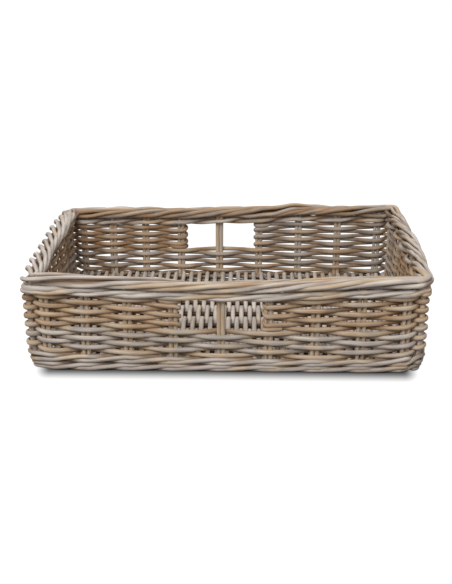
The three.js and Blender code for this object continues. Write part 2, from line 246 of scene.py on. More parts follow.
# At the back the brown heart is wider and the inside darker: painted shade on the back rim
BACK_BROWN_AND_SHADE = 1.2 * BORDER_END
BACK_INNER_PAINTED_SHADE = 0.6
BACK_STRIP = 30 * MM
LEFT_STRIP = 20 * MM
# The mat is darkened where its canes touch the sticks: brown and painted shade
MAT_BROWN_AND_SHADE = 0.85
MAT_BROWN_AND_SHADE_REACH = 15 * MM
MAT_BROWN_AND_SHADE_HEIGHT = (2 * MM, 5 * MM)

# Finish: grey-washed rattan skin, with the stretch and the detail of its patterns
FIBRE_NOISE = ((800, 800, 20), 3)
MOTTLE_NOISE = ((260, 260, 30), 4)
DRIFT_NOISE = ((30, 30, 12), 2)
NOISE_ROUGHNESS = 0.55
SHADE_SWAY = 1.8
CANE_SHADES = (
    # The darkest brown is this dark for the base sticks' painted shadow
    (0.0, (0.17, 0.1, 0.055)),
    (0.2, (0.43, 0.28, 0.16)),
    (0.4, (0.54, 0.39, 0.255)),
    (0.58, (0.59, 0.475, 0.35)),
    (0.72, (0.42, 0.37, 0.325)),
    (0.86, (0.53, 0.47, 0.44)),
    (1.0, (0.63, 0.565, 0.49)),
)
STREAKS = (
    (0.3, (0.5, 0.46, 0.42)),
    (0.52, (0.98, 0.97, 0.95)),
    (0.72, (1.2, 1.2, 1.21)),
)
STREAK_SHARE = 0.75
WASH_COLOUR = (0.60, 0.53, 0.46)
WASH_START = 0.36
WASH_CONTRAST = 3.2
WASH_SOFTNESS = 0.2
RING_COLOUR = (0.62, 0.54, 0.43)
RING_SHARE = 0.4
RING_LINE_COLOUR = (0.16, 0.11, 0.07)
RING_LINE_SHARE = 0.3
RING_LINE_FINENESS = 4.0
# Brown in the hollows between canes: partly the skin's own unbleached brown, partly painted shade
HOLLOW_BROWN_AND_SHADE_COLOUR = (0.42, 0.31, 0.22)
HOLLOW_BROWN_AND_SHADE_SHARE = 0.85
SMOOTHEST = 0.5
MOTTLE_ROUGHNESS = 0.3
FIBRE_HEIGHT = 0.7
MOTTLE_HEIGHT = 0.5
BUMP_STRENGTH = 0.35
BUMP_DISTANCE = 0.6 * MM
SKIN_GLOSS = 0.25

# Floor, lamps and the photograph's camera
FLOOR_SIZE = 40
FLOOR_COLOUR = (0.13, 0.13, 0.13)
FLOOR_ROUGHNESS = 0.9
FLOOR_GLOW = 0.95
# Where the floor's glow starts and where it is full, away from the basket: the dark band between is a
# painted contact shadow
PAINTED_SHADOW_GLOW_START = 5 * MM
PAINTED_SHADOW_GLOW_FULL = 46 * MM
PAINTED_SHADOW_SIDE_INSET = 25 * MM
PAINTED_SHADOW_SIDE_WEIGHT = 1.6
SKY_LIGHT = 0.52
LAMPS = (
    ("main_light", (-0.7, -1.6, 1.9), 1.5, 47),
    ("top_light", (0.3, 0.7, 2.3), 1.6, 6),
)
LAMP_TARGET = Vector((0, 0, 0.05))
CAMERA_PLACE = (0.0296, -1.509, 0.612)
CAMERA_DIP = 20.22
CAMERA_TURN = 1.3
CAMERA_LENS = 59.8
CAMERA_SENSOR = 36
CAMERA_NEAR = 0.05
CAMERA_FAR = 60


def middle(node):
    """The middle of a CAD node's box."""
    low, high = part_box(node)
    return (np.array(low) + np.array(high)) / 2


def numbered(stem):
    """The CAD nodes stem_1, stem_2 and so on, in order."""
    found = []
    while f"{stem}_{len(found) + 1}" in nodes:
        found.append(f"{stem}_{len(found) + 1}")
    return found


# Stations in the order that a weaver meets them: each wall's stake pairs and then a corner post
WALLS = ("front", "right", "back", "left")
SHORT_WALLS = ("right", "left")
OUTWARD = {"front": (0, -1), "right": (1, 0), "back": (0, 1), "left": (-1, 0)}
stations = []
for i, wall in enumerate(WALLS):
    out = np.array(OUTWARD[wall], float)
    along = np.array((-out[1], out[0]))
    for pair in numbered(f"{wall}_stake_pair"):
        stations.append({"node": pair, "at": middle(pair)[:2], "along": along, "out": out, "wall": wall})
    post = f"{wall}_{WALLS[(i + 1) % 4]}_corner_post"
    stations.append({"node": post, "at": middle(post)[:2], "along": along, "out": out, "wall": None})
STATION_COUNT = len(stations)
front_pairs = numbered("front_stake_pair")
hole_pair = len(front_pairs) // 2
stake_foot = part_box(front_pairs[0])[0][2]
stake_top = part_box(front_pairs[0])[1][2] + STAKE_INTO_BORDER
HALF_X = middle("right_stake_pair_1")[0]
HALF_Y = middle("back_stake_pair_1")[1]

# Heights and places of the rows, the wales, the border and the base
row_nodes = numbered("weaver_row")
row_heights = [middle(n)[2] for n in row_nodes]
return_low, return_high = (corner[2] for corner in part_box("right_return_weaver"))
ROW_PITCH = row_heights[1] - row_heights[0]
RETURN_ROWS = round((return_high - return_low) / ROW_PITCH)
row_heights += [row_heights[-1] + ROW_PITCH * (k + 1) for k in range(RETURN_ROWS)]
rim_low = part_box("rim_wale_outer")[0][2]
foot_nodes = numbered("foot_wale_outer")
foot_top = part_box(foot_nodes[-1])[1][2]
border_nodes = numbered("rolled_border_strand")
border_low = min(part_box(n)[0][2] for n in border_nodes)
border_high = max(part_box(n)[1][2] for n in border_nodes)
border_heart = border_high - BORDER_END - BORDER_RADIUS
wale_top = border_heart - BORDER_END - BORDER_RADIUS - RIM_SLIT
mat_low, mat_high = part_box("base_mat")
stick_nodes = numbered("base_stick_pair")
stick_low, stick_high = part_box(stick_nodes[0])
stick_height = middle(stick_nodes[0])[2]
stick_places = [middle(n)[1] for n in stick_nodes]
stick_node_radius = (stick_high[2] - stick_low[2]) / 2
base_stick_radius = BASE_STICK_SHARE * stick_node_radius


# Settling
def closeness(gap, reach):
    """One at the wall and beyond it, fading smoothly to nothing at the reach."""
    share = np.clip(1 - gap / reach, 0, 1)
    return share * share * (3 - 2 * share)


def rising(value, start, span):
    """Nought up to the start, and one from the span above it on."""
    return np.clip((value - start) / span, 0, 1)


def peaking(z, height):
    """Rises from the floor to one at the height, and falls to nought at the rim wale."""
    return np.clip(np.minimum(z / height, (rim_low - z) / (rim_low - height)), 0, 1)


def fullness(place, half):
    """One in the middle of a wall and nought at its ends."""
    return np.clip(1 - (place / half) ** 2, 0, 1)


def front_drop(x, y, z):
    """How far the front rim hangs and the front rows have slipped down."""
    to_front = np.abs(y + HALF_Y)
    sag = FRONT_SAG * fullness(x, HALF_X) ** SAG_SHARPNESS * rising(z, SAG_FROM, SAG_HEIGHT)
    slip = FRONT_SLIP * np.sqrt(fullness(x, HALF_X)) * (1 + SLIP_TILT * x / HALF_X) * peaking(z, foot_top)
    return sag * closeness(to_front, SAG_REACH) + slip * closeness(to_front, WALL_REACH)


def back_lift(x, y, z):
    """How far the back rows are drawn up and the back rim has climbed."""
    drawn_up = BACK_LIFT * np.sqrt(fullness(x, HALF_X)) * peaking(z, BACK_LIFT_HEIGHT)
    climb = BACK_RISE + BACK_CLIMB * np.tanh(x / BACK_CLIMB_LENGTH)
    climb += BACK_HUMP * np.exp(-(((x - BACK_HUMP_PLACE) / BACK_HUMP_WIDTH) ** 2))
    climb *= rising(z, BACK_LIFT_HEIGHT, rim_low - BACK_LIFT_HEIGHT)
    return (drawn_up + climb) * closeness(np.abs(y - HALF_Y), WALL_REACH)


def side_shift(x, y, z):
    """How far the short walls have moved to the right, or to the left where it is below nought."""
    lean = LEFT_LEAN * closeness(x + HALF_X, SIDE_REACH) * (1 - rising(z, 0, border_low))
    bulge = np.where(x < 0, -LEFT_BULGE, RIGHT_BULGE) * np.abs(x) / HALF_X
    bulge *= rising(border_low - z, 0, BULGE_FADE)
    bow = np.where(x < 0, -LEFT_BOW, RIGHT_BOW) * closeness(HALF_X - np.abs(x), SIDE_REACH)
    bow *= fullness(y, HALF_Y) * (1 + BOW_TILT * y / HALF_Y) * rising(z, BOW_FROM, BOW_HEIGHT)
    return lean + bulge + bow


def settled(points):
    """Moves what is given from its even place to where it has settled in the finished basket."""
    points = np.array(points, float)
    x, y, z = points.T
    corner = closeness(HALF_X - np.abs(x), CORNER_REACH) * closeness(HALF_Y - np.abs(y), CORNER_REACH)
    in_rows = closeness(foot_top - z, CLIMB_START) * rising(border_low - z, 0, CLIMB_FADE)
    drawn_in = FOOT_TUCK * corner * (1 - rising(z, 0, FOOT_TUCK_HEIGHT * foot_top))
    across = side_shift(x, y, z) - np.sign(x) * drawn_in
    inwards = -np.sign(y) * drawn_in
    upwards = CORNER_CLIMB * corner * in_rows + back_lift(x, y, z) - front_drop(x, y, z)
    return points + np.stack([across, inwards, upwards], axis=1)


def unsettled(points):
    """The even place of what has settled."""
    return 2 * points - settled(points)


# Canes bent along their points
def wobble(count, size):
    """A slow random drift along a cane."""
    t = np.arange(count)
    drift = np.zeros(count)
    for period in DRIFT_PERIODS:
        drift += rng.normal() * np.sin(2 * math.pi * (t / period + rng.random()))
    return drift * size / DRIFT_SUM


def jitter(points, size):
    """Lets the bends of a cane stray, most of all up and down."""
    points = np.array(points, float)
    for axis, share in ((0, SIDEWAYS_STRAY), (1, SIDEWAYS_STRAY), (2, 1)):
        points[:, axis] += wobble(len(points), size * share)
    return points


def toned(start, spread):
    """A random shade of a cane."""
    return start + spread * rng.random()


def lifted(plan, z):
    """A point above its place in the plan."""
    return np.array([plan[0], plan[1], z])


def bend(plan, z, thick=1.0):
    """A bend of a cane, with its share of the full thickness there."""
    return np.array([plan[0], plan[1], z, thick])


def run(bends, radius, tone=None, spread=CANE_SPREAD, flat=1.0, edge_shade=0.0, fade=0.0):
    """One cane: its bends, its thickness at each, its shade of colour, how flat it lies, and how much
    painted shade darkens its tucked-in edges.
    """
    bends = np.array(bends, float)
    return {
        "points": bends[:, :3],
        "radii": radius * bends[:, 3] * (1 + wobble(len(bends), CANE_DRIFT) + rng.normal() * spread),
        "flat": flat,
        "edge_shade": edge_shade,
        "fade": fade,
        "tone": rng.random() if tone is None else tone,
        "offset": rng.random() * SKIN_SPAN,
    }


def with_ends(cane):
    """Rounds off both cut ends of a cane."""
    points, radii = cane["points"], cane["radii"]
    for _ in range(2):
        step = points[1] - points[0]
        step = step / np.linalg.norm(step)
        radius = radii[0]
        head = np.array([points[0] - step * out * radius for out, _ in CUT_END])
        points = np.vstack([head, points])[::-1]
        radii = np.concatenate([[radius * thick for _, thick in CUT_END], radii])[::-1]
    cane["points"], cane["radii"] = points, radii


def deselect():
    bpy.ops.object.select_all(action="DESELECT")


def lay(name, canes, wear_and_shade_of, resolution=CANE_STEPS, sides=CANE_SIDES):
    """Bends each cane along its points as one curve and turns the piece into a mesh."""
    curve = bpy.data.curves.new(name, "CURVE")
    curve.dimensions = "3D"
    curve.bevel_depth = 1
    curve.bevel_resolution = sides // 2 - 2
    curve.resolution_u = resolution
    for cane in canes:
        with_ends(cane)
        spline = curve.splines.new("BEZIER")
        spline.bezier_points.add(len(cane["points"]) - 1)
        places = settled(cane["points"])
        places[:, 2] = np.maximum(places[:, 2], cane["radii"] * (1 + RING_SWELL))
        for knot, place, radius in zip(spline.bezier_points, places, cane["radii"]):
            knot.co = place
            knot.radius = radius
            knot.handle_left_type = knot.handle_right_type = "AUTO"
    piece = bpy.data.objects.new(name, curve)
    bpy.context.scene.collection.objects.link(piece)
    deselect()
    piece.select_set(True)
    bpy.context.view_layer.objects.active = piece
    bpy.ops.object.convert(target="MESH")
    piece = bpy.context.view_layer.objects.active
    mark_canes(piece, canes, wear_and_shade_of, resolution, sides)
    return piece


def mark_canes(piece, canes, wear_and_shade_of, resolution, sides):
    """Swells each cane at its growth rings and notes where its skin lies along and round it."""
    mesh = piece.data
    places = np.empty(len(mesh.vertices) * 3)
    mesh.vertices.foreach_get("co", places)
    places = places.reshape(-1, 3)
    skin = np.zeros_like(places)
    tone = np.zeros(len(places))
    tucked = np.zeros(len(places))
    turn = np.arange(sides) * 2 * math.pi / sides
    start = 0
    for cane in canes:
        loops = (len(cane["points"]) - 1) * resolution + 1
        part = slice(start, start + loops * sides)
        start += loops * sides
        block = places[part].reshape(loops, sides, 3)
        line = block.mean(1)
        steps = np.linalg.norm(np.diff(line, axis=0), axis=1)
        gone = np.concatenate([[0], np.cumsum(steps)]) + cane["offset"]
        from_ring = np.abs((gone / RING_SPACING + 0.5) % 1 - 0.5) * RING_SPACING
        swell = 1 + RING_SWELL * np.exp(-((from_ring / RING_WIDTH) ** 2))
        spokes = (block - line[:, None]) * swell[:, None, None] * (cane["flat"], cane["flat"], 1)
        places[part] = (line[:, None] + spokes).reshape(-1, 3)
        # Painted shade on the upper and lower edges of the cane, where it lies between its neighbours
        rise = np.abs(spokes[:, :, 2]) / np.abs(spokes[:, :, 2]).max(axis=1, keepdims=True)
        tucked[part] = cane["edge_shade"] * rising(rise, EDGE_SHADE_START, 1 - EDGE_SHADE_START).ravel()
        reach = np.linalg.norm(spokes, axis=2)
        skin[part, 0] = (reach * np.cos(turn)).ravel()
        skin[part, 1] = (reach * np.sin(turn)).ravel()
        skin[part, 2] = np.repeat(gone, sides)
        tone[part] = cane["tone"] + cane["fade"] * np.repeat(rising(line[:, 1], 0, HALF_Y), sides)
    mesh.vertices.foreach_set("co", places.ravel())
    # Wear, and painted shade in the hollows, inside the basket and on the rows' edges, kept on the mesh
    # as one attribute
    note(mesh, skin, tone, wear_and_shade_of(unsettled(places)) * (1 - tucked))
    bpy.ops.object.mode_set(mode="EDIT")
    bpy.ops.mesh.select_all(action="DESELECT")
    bpy.ops.mesh.select_mode(type="VERT")
    bpy.ops.mesh.select_non_manifold()
    bpy.ops.mesh.remove_doubles(threshold=END_MERGE)
    bpy.ops.object.mode_set(mode="OBJECT")
    bpy.ops.object.shade_smooth()


def note(mesh, skin, tone, wear_and_shade):
    """Keeps the skin's place, the cane's shade of colour, and its wear and painted shade on the mesh for
    the materials.
    """
    mesh.attributes.new("skin", "FLOAT_VECTOR", "POINT").data.foreach_set("vector", np.ravel(skin))
    mesh.attributes.new("tone", "FLOAT", "POINT").data.foreach_set("value", np.ravel(tone))
    wear_and_shade = np.clip(np.ravel(wear_and_shade), 0, 1)
    mesh.attributes.new("wear_and_shade", "FLOAT", "POINT").data.foreach_set("value", wear_and_shade)


def seat(piece, material, replaced):
    """Gives a piece its finish, hangs it under the basket's root and hides the CAD parts that it stands
    for.
    """
    piece.data.materials.clear()
    piece.data.materials.append(material)
    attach(piece, "root")
    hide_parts(*replaced)


# Wear and painted shade
def past_walls(places):
    """How far a point lies beyond the middle of the short walls and of the long walls."""
    return np.abs(places[:, :2]) - (HALF_X, HALF_Y)


def from_wall(places):
    """How far a point lies from the middle of the nearest wall, outwards or inwards."""
    past = past_walls(places)
    outwards = np.linalg.norm(np.maximum(past, 0), axis=1)
    inwards = np.maximum(-past.max(axis=1), 0)
    return outwards + inwards


def inside(places, reach):
    """How far a point lies on the inside of the walls, from nought to one."""
    return np.clip(-past_walls(places).max(axis=1) / reach, 0, 1)


def wall_wear_and_shade(places):
    """Outside, only the hollows stay brown, darkened further as painted shade. Inside, the walls are
    darkened as painted shade and only what stands out most is bleached.
    """
    outer = rising(from_wall(places), *OUTER_BLEACH)
    inner = INNER_SHARE * rising(from_wall(places), *INNER_BLEACH)
    turned = inside(places, INNER_REACH)
    return outer * (1 - turned) + inner * turned


def foot_wear_and_shade(places):
    """The foot is brown between its canes and darkened there as painted shade, darker towards the floor,
    and darkened on its inside as painted shade.
    """
    outer = rising(from_wall(places), *FOOT_BLEACH)
    height = FOOT_LOW_SHARE + (1 - FOOT_LOW_SHARE) * rising(places[:, 2], 0, foot_top)
    return outer * height * (1 - FOOT_INNER_PAINTED_SHADE * inside(places, SHADE_REACH))


def border_wear_and_shade(places):
    """The border is brown at its heart and darkened there as painted shade, more widely at the back. Its
    inside is darkened as painted shade, most at the back and not at all on the left.
    """
    from_spine = np.maximum(from_wall(places) - BORDER_FLAT / 2, 0)
    depth = np.hypot(from_spine, places[:, 2] - border_heart)
    at_back = places[:, 1] > HALF_Y - BACK_STRIP
    at_left = places[:, 0] < LEFT_STRIP - HALF_X
    start, span = BORDER_BLEACH
    bleached = rising(depth, np.where(at_back, BACK_BROWN_AND_SHADE, start), span)
    painted_shade = np.where(at_back, BACK_INNER_PAINTED_SHADE, np.where(at_left, 0, BORDER_INNER_PAINTED_SHADE))
    return bleached * (1 - painted_shade * inside(places, SHADE_REACH))


def mat_wear_and_shade(places):
    """The mat is brown only where its canes touch the sticks, and darkened there as painted shade."""
    to_stick = np.min(np.abs(places[:, 1:2] - np.array(stick_places)), axis=1)
    facing = 1 - rising(np.abs(places[:, 2] - stick_height), *MAT_BROWN_AND_SHADE_HEIGHT)
    return 1 - MAT_BROWN_AND_SHADE * closeness(to_stick, MAT_BROWN_AND_SHADE_REACH) * facing


# Plain weave
def passing(index, outside, z, radius, offset, spread=PAIR_FLAT):
    """The bends of a cane as it passes one station, in the order that the stations run."""
    here = stations[index]
    at, along, out = here["at"], here["along"], here["out"]
    side = 1 if outside else -1
    if here["wall"]:
        thick = PASS_SHARE[here["wall"]]
        return [bend(at + along * step + out * side * offset, z, thick) for step in (-spread, spread)]
    corner = (out + along) / math.sqrt(2)
    reach = POST_RADIUS + radius + POST_GAP
    if not outside:
        return [bend(at - corner * POST_INNER_REACH * reach, z, POST_INNER_SHARE)]
    return [bend(at + way * reach, z) for way in (out, corner, along)]


def between(first, second, z):
    """The bend half way between two stake pairs, in the middle of the wall."""
    a, b = stations[first], stations[second]
    if a["wall"] and b["wall"]:
        waist = SHORT_WAIST if a["wall"] in SHORT_WALLS else LONG_WAIST
        return [bend((a["at"] + b["at"]) / 2, z, waist)]
    return []


def hidden_end(index, way, offset, z, exit_z):
    """A cane's end behind a stake pair and the bend where it comes out, ahead of the pair or after it."""
    here = stations[index]
    inner = here["at"] - here["out"] * offset
    ahead = here["along"] * way
    return [bend(inner + ahead * HIDDEN_END, z), bend(inner + ahead * HIDDEN_EXIT, exit_z)]


def outside_of(index, row):
    """Whether a row passes outside a station: every other one, and row by row the other way."""
    return (index + row) % 2 == 0


def ring_row(row):
    """A row that starts and ends behind one stake pair of a short wall."""
    short = [i for i, here in enumerate(stations) if here["wall"] in SHORT_WALLS]
    choices = [i for i in short if not outside_of(i, row)]
    first = choices[int(rng.integers(len(choices)))]
    z = row_heights[row]
    points = hidden_end(first, 1, WEAVE_OFFSET, z, z)
    for k in range(1, STATION_COUNT):
        index = (first + k) % STATION_COUNT
        points += between((index - 1) % STATION_COUNT, index, z)
        points += passing(index, outside_of(index, row), z, ROW_DEPTH, WEAVE_OFFSET)
    points += between((first - 1) % STATION_COUNT, first, z)
    points += hidden_end(first, -1, WEAVE_OFFSET, z, z)[::-1]
    return jitter(points, ROW_UNEVENNESS)


# Beside the hand holes
def turn_bends(index, side, travel, low, high):
    """Half a turn round the stake pair beside the hand hole, from one side of the wall to the other."""
    here = stations[index]
    centre = here["at"] + here["along"] * travel * STAKE_RADIUS
    reach = TURN_REACH["left" if here["at"][0] < 0 else "right"]
    bends = []
    for k in range(TURN_STEPS + 1):
        angle = math.pi * k / TURN_STEPS
        plan = centre + here["out"] * side * WEAVE_OFFSET * math.cos(angle)
        plan = plan + here["along"] * travel * reach * WEAVE_OFFSET * math.sin(angle)
        bends.append(bend(plan, low + (high - low) * k / TURN_STEPS, TURN_SHARE))
    return bends


def tail(index, side, travel, z):
    """The end of a cane, tucked into the weave beyond the stake pair."""
    here = stations[index]
    back = here["along"] * -travel
    plan = here["at"] + back * TAIL_START + here["out"] * side * WEAVE_OFFSET
    tip = here["at"] + back * TAIL_TIP + here["out"] * side * TAIL_TIP_OFFSET
    return [bend(plan, z), bend(tip, z + TAIL_RISE, TAIL_SHARE)]


def return_cane(first, last):
    """To and fro between the hand holes, round one end of the basket, both ends wrapped and tucked in."""
    half = [(first + k) % STATION_COUNT for k in range((last - first) % STATION_COUNT + 1)]
    low_row = len(row_nodes)
    points = []
    for k in range(RETURN_ROWS):
        row = low_row + k
        z = row_heights[row]
        travel = 1 if k % 2 == 0 else -1
        route = half[::travel]
        bends = []
        for step, index in enumerate(route):
            if step:
                bends += between(route[step - 1], index, z)
            stops = passing(index, outside_of(index, row), z, ROW_DEPTH, WEAVE_OFFSET)
            bends += stops[::travel]
        side = 1 if outside_of(route[-1], row) else -1
        if k < RETURN_ROWS - 1:
            turn = turn_bends(route[-1], side, travel, z, z + ROW_PITCH)
        else:
            turn = turn_bends(route[-1], side, travel, z, z) + tail(route[-1], -side, travel, z)
        points += bends[1:-1] + turn
    side = 1 if outside_of(first, low_row) else -1
    start = turn_bends(first, side, -1, row_heights[low_row], row_heights[low_row])
    start += tail(first, -side, -1, row_heights[low_row])
    return jitter(start[::-1] + points, RETURN_UNEVENNESS)


# Wales
def wale(shift, z, rise, radius):
    """One of three canes that pass outside two stations and inside the third, one after the other."""
    offset = STAKE_RADIUS + radius + WALE_GAP
    inner = [i for i in range(WALE_START, STATION_COUNT) if (i + shift) % WALE_CANES == 2]
    first = next(i for i in inner if stations[i]["wall"])
    exit_rise = WALE_EXIT_SLOPE * rise
    points = hidden_end(first, 1, offset, z, z - exit_rise)
    at_station = (-rise, rise, 0)
    half_way = (0, rise, -rise)
    for k in range(1, STATION_COUNT):
        index = (first + k) % STATION_COUNT
        here, after = stations[index], stations[(index + 1) % STATION_COUNT]
        state = (index + shift) % WALE_CANES
        points += passing(index, state < 2, z + at_station[state], radius, offset, WALE_FLAT)
        if here["wall"] and after["wall"]:
            hold = here["out"] * (offset if state == 0 else 0)
            points.append(bend((here["at"] + after["at"]) / 2 + hold, z + half_way[state]))
    points += hidden_end(first, -1, offset, z, z + exit_rise)[::-1]
    return jitter(points, WALE_UNEVENNESS)


# Rolled border
def border_plan():
    """Points close together round the middle of the walls, with the way out at each."""
    line, ways = [], []
    for wall in WALLS:
        out = np.array(OUTWARD[wall], float)
        along = np.array((-out[1], out[0]))
        half, reach = (HALF_Y, HALF_X) if wall in SHORT_WALLS else (HALF_X, HALF_Y)
        straight = half - BORDER_CORNER
        for t in np.linspace(-straight, straight, BORDER_WALL_STEPS, endpoint=False):
            line.append(out * reach + along * t)
            ways.append(out)
        heart = out * (reach - BORDER_CORNER) + along * straight
        for angle in np.linspace(0, math.pi / 2, BORDER_CORNER_STEPS, endpoint=False):
            way = out * math.cos(angle) + along * math.sin(angle)
            line.append(heart + way * BORDER_CORNER)
            ways.append(way)
    return np.array(line), np.array(ways)


def oval(turns, flat):
    """A place on the border's section: out from the wall, and up. It climbs on the outside."""
    half = math.pi * BORDER_END + flat
    gone = (turns % 1) * 2 * half
    side = 1 if gone < half else -1
    gone = gone % half
    angle = min(gone, math.pi * BORDER_END) / BORDER_END - math.pi / 2
    x = flat / 2 + BORDER_END * math.cos(angle) - max(gone - math.pi * BORDER_END, 0)
    return side * x, side * BORDER_END * math.sin(angle)


def border_bend(turns, plan, way, swing, thick):
    """A bend of a border strand at its share of the turn. The right rim is narrower than the others."""
    right = max(way[0], 0)
    out, up = oval(turns, BORDER_FLAT * (1 - right) + BORDER_RIGHT_FLAT * right)
    from_tip = max(min(turns - STRAND_START, STRAND_STOP - turns), 0)
    depth = min(1.0, TIP_DEPTH + TIP_RISE * from_tip)
    out = (out + swing) * depth + BORDER_RIGHT_SHIFT * right
    up = up * (TIP_HEIGHT + (1 - TIP_HEIGHT) * depth) + swing
    return bend(plan + way * out, border_heart + up, thick)


def laps(shares):
    """What has been gone through from the start, for two rounds of the basket."""
    return np.concatenate([[0], np.cumsum(np.tile(shares, 2))])


def border_canes():
    """Each strand starts under the outside, climbs over the top once and ends under the inside."""
    line, ways = border_plan()
    walls = [max(WALLS, key=lambda wall: np.dot(way, OUTWARD[wall])) for way in ways]
    steps = np.linalg.norm(np.roll(line, -1, axis=0) - line, axis=1)
    lengths = laps(steps)
    marks = np.arange(len(lengths))
    begun = laps(steps / np.array([BORDER_SPACING[wall] for wall in walls]))
    strands = round(begun[len(line)])
    begun = begun * strands / begun[len(line)]
    turns = np.linspace(STRAND_START, STRAND_STOP, STRAND_BENDS)
    quarters = 4 * (turns[1] - turns[0])
    canes = []
    for strand in range(strands):
        gone = np.interp(strand + STRAND_STRAY * rng.random(), begun, lengths)
        swing = rng.normal() * STRAND_SWING
        points, on_short = [], []
        for t in turns:
            mark = np.interp(gone, lengths, marks)
            place, share = int(mark) % len(line), mark % 1
            follow = (place + 1) % len(line)
            wall = walls[place]
            on_short.append(wall in SHORT_WALLS)
            gone += BORDER_TURN[wall][int(4 * (t % 1))] * quarters
            plan = line[place] * (1 - share) + line[follow] * share
            way = ways[place] * (1 - share) + ways[follow] * share
            way = way / np.linalg.norm(way)
            points.append(border_bend(t, plan, way, swing, BORDER_SHARE[wall]))
        grey = np.mean(on_short) > SHORT_WALL_STRAND or rng.random() < GREY_STRANDS
        tone = toned(*(GREY_SHADE if grey else TAN_SHADE))
        canes.append(run(jitter(points, STRAND_UNEVENNESS), BORDER_RADIUS, tone=tone))
    return canes


# Base mat
def mat_canes():
    """Canes from front to back, each over one stick pair and under the next."""
    width = mat_high[0] - mat_low[0] - 2 * MAT_RADIUS
    count = round(width / MAT_PITCH) + 1
    reach = stick_node_radius + MAT_RADIUS - MAT_PRESS
    canes = []
    for k in range(count):
        x = (k / (count - 1) - 0.5) * width
        lifts = [reach if (j + k) % 2 == 0 else -reach for j in range(len(stick_places))]
        heights = [stick_height + lift for lift in lifts]
        points = [bend((x, mat_low[1]), heights[0])]
        for j, y in enumerate(stick_places):
            if j:
                points.append(bend((x, (stick_places[j - 1] + y) / 2), stick_height))
            points += [bend((x, y + step), heights[j]) for step in (-MAT_PASS, 0, MAT_PASS)]
        points.append(bend((x, mat_high[1]), heights[-1]))
        tone = toned(*MAT_SHADE)
        canes.append(run(jitter(points, MAT_UNEVENNESS), MAT_RADIUS, tone=tone, spread=MAT_SPREAD))
    return canes


# Straight sticks, modelled once and copied
def plain_stick():
    """A stick one unit long and one unit in radius, with enough bends along it to bow."""
    deselect()
    bpy.ops.mesh.primitive_cylinder_add(vertices=STICK_SIDES, radius=1, depth=1, location=(0, 0, 0.5))
    stick = bpy.context.view_layer.objects.active
    stick.name = "plain_stick"
    bpy.ops.object.transform_apply(location=True, rotation=True, scale=True)
    for edge in stick.data.edges:
        a, b = (stick.data.vertices[v].co for v in edge.vertices)
        edge.select = abs(a.z - b.z) > 0.5
    bpy.ops.object.mode_set(mode="EDIT")
    bpy.ops.mesh.select_mode(type="EDGE")
    bpy.ops.mesh.subdivide(number_cuts=STICK_CUTS)
    bpy.ops.object.mode_set(mode="OBJECT")
    return stick


def copied_stick(start, end, radius, tone, wear_and_shade=1.0):
    """A copy of the plain stick between two points, slightly bowed."""
    stick = master_stick.copy()
    stick.data = master_stick.data.copy()
    bpy.context.scene.collection.objects.link(stick)
    places = np.empty(len(stick.data.vertices) * 3)
    stick.data.vertices.foreach_get("co", places)
    x, y, share = places.reshape(-1, 3).T
    start, end = np.array(start, float), np.array(end, float)
    length = np.linalg.norm(end - start)
    axis = (end - start) / length
    across = np.cross(axis, (0, 0, 1) if abs(axis[2]) < STEEP else (1, 0, 0))
    across = across / np.linalg.norm(across)
    other = np.cross(axis, across)
    offset = rng.random() * SKIN_SPAN
    bow = np.outer(np.sin(share * math.pi), across * rng.normal() + other * rng.normal()) * STICK_BOW
    spread = STICK_SPREAD * rng.normal()
    drift = STICK_DRIFT * np.sin(share * STICK_WAVE + rng.random() * STICK_PHASE)
    thick = radius * (1 + spread + drift)
    skin = np.c_[x * thick, y * thick, share * length + offset]
    moved = start + np.outer(share * length, axis) + bow
    moved += np.outer(x * thick, across) + np.outer(y * thick, other)
    stick.data.vertices.foreach_set("co", settled(moved).ravel())
    # Its wear is one for bare skin and nought for full painted shade
    note(stick.data, skin, np.full(len(skin), tone), np.full(len(skin), wear_and_shade))
    return stick


def upright(plan, radius, tone):
    """A copy of the plain stick that stands in the foot and ends in the border."""
    return copied_stick(lifted(plan, stake_foot), lifted(plan, stake_top), radius, tone)


def bundle(name, sticks):
    """Joins copies into one piece and points their faces outwards."""
    deselect()
    for stick in sticks:
        stick.select_set(True)
    bpy.context.view_layer.objects.active = sticks[0]
    bpy.ops.object.join()
    piece = bpy.context.view_layer.objects.active
    piece.name = piece.data.name = name
    bpy.ops.object.mode_set(mode="EDIT")
    bpy.ops.mesh.select_all(action="SELECT")
    bpy.ops.mesh.normals_make_consistent(inside=False)
    bpy.ops.object.mode_set(mode="OBJECT")
    bpy.ops.object.shade_smooth_by_angle(angle=SMOOTH_ANGLE)
    return piece


# Shader nodes
NODE_STEP = 180


def added(tree, kind):
    """A new node, to the right of those that are there."""
    node = tree.nodes.new(kind)
    node.location = (NODE_STEP * len(tree.nodes), 0)
    return node


def link(tree, source, target):
    tree.links.new(source, target)


def fill(tree, socket, value):
    """Sets a socket to a number or a colour, or links it to another node."""
    if isinstance(value, tuple):
        socket.default_value = (*value, 1)
    elif isinstance(value, (int, float)):
        socket.default_value = value
    else:
        link(tree, value, socket)


def maths(tree, operation, *values):
    """A number worked out from numbers or from other nodes."""
    node = added(tree, "ShaderNodeMath")
    node.operation = operation
    for socket, value in zip(node.inputs, values):
        fill(tree, socket, value)
    return node.outputs[0]


def mixed(tree, share, first, second, blend="MIX"):
    """A colour between two others."""
    node = added(tree, "ShaderNodeMix")
    node.data_type = "RGBA"
    node.blend_type = blend
    for socket, value in ((node.inputs[0], share), (node.inputs[6], first), (node.inputs[7], second)):
        fill(tree, socket, value)
    return node.outputs[2]


